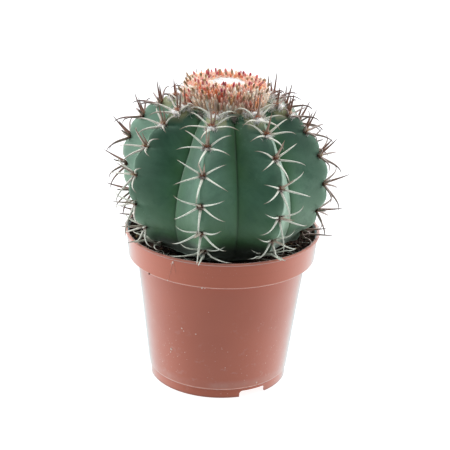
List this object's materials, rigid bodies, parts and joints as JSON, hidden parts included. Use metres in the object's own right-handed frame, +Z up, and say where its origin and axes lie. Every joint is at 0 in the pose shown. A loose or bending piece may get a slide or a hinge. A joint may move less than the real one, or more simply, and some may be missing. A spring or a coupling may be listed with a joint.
{
  "type": "potted round cactus",
  "caption": "Round ribbed cactus with curved spines and a bristly woolly cap, growing in potting soil in a tapered plastic nursery pot.",
  "frame": {"origin": "on the ground under the middle of the pot", "axes": "+Z up along the axis of the pot and the plant, -Y towards the front of the picture's view"},
  "size_m": [0.1519, 0.1492, 0.1938],
  "materials": {
    "pot_plastic": "brown nursery plastic with a soft sheen, thin bright edges and faint water marks",
    "soil": "dark damp peat with grit and fibres",
    "cactus_flesh": "blue-green waxy skin with a pale bloom",
    "spines": "bone coloured horn with brown roots and tips",
    "bristles": "dry orange and grey-brown bristles with crimson tips",
    "wool": "matted white wool"
  },
  "bodies": {
    "root": {"pot": "pot_plastic", "potting_soil": "soil", "cactus_stem": "cactus_flesh", "cephalium_bristles": "bristles", "cephalium_wool": "wool"}
  },
  "joints": []
}
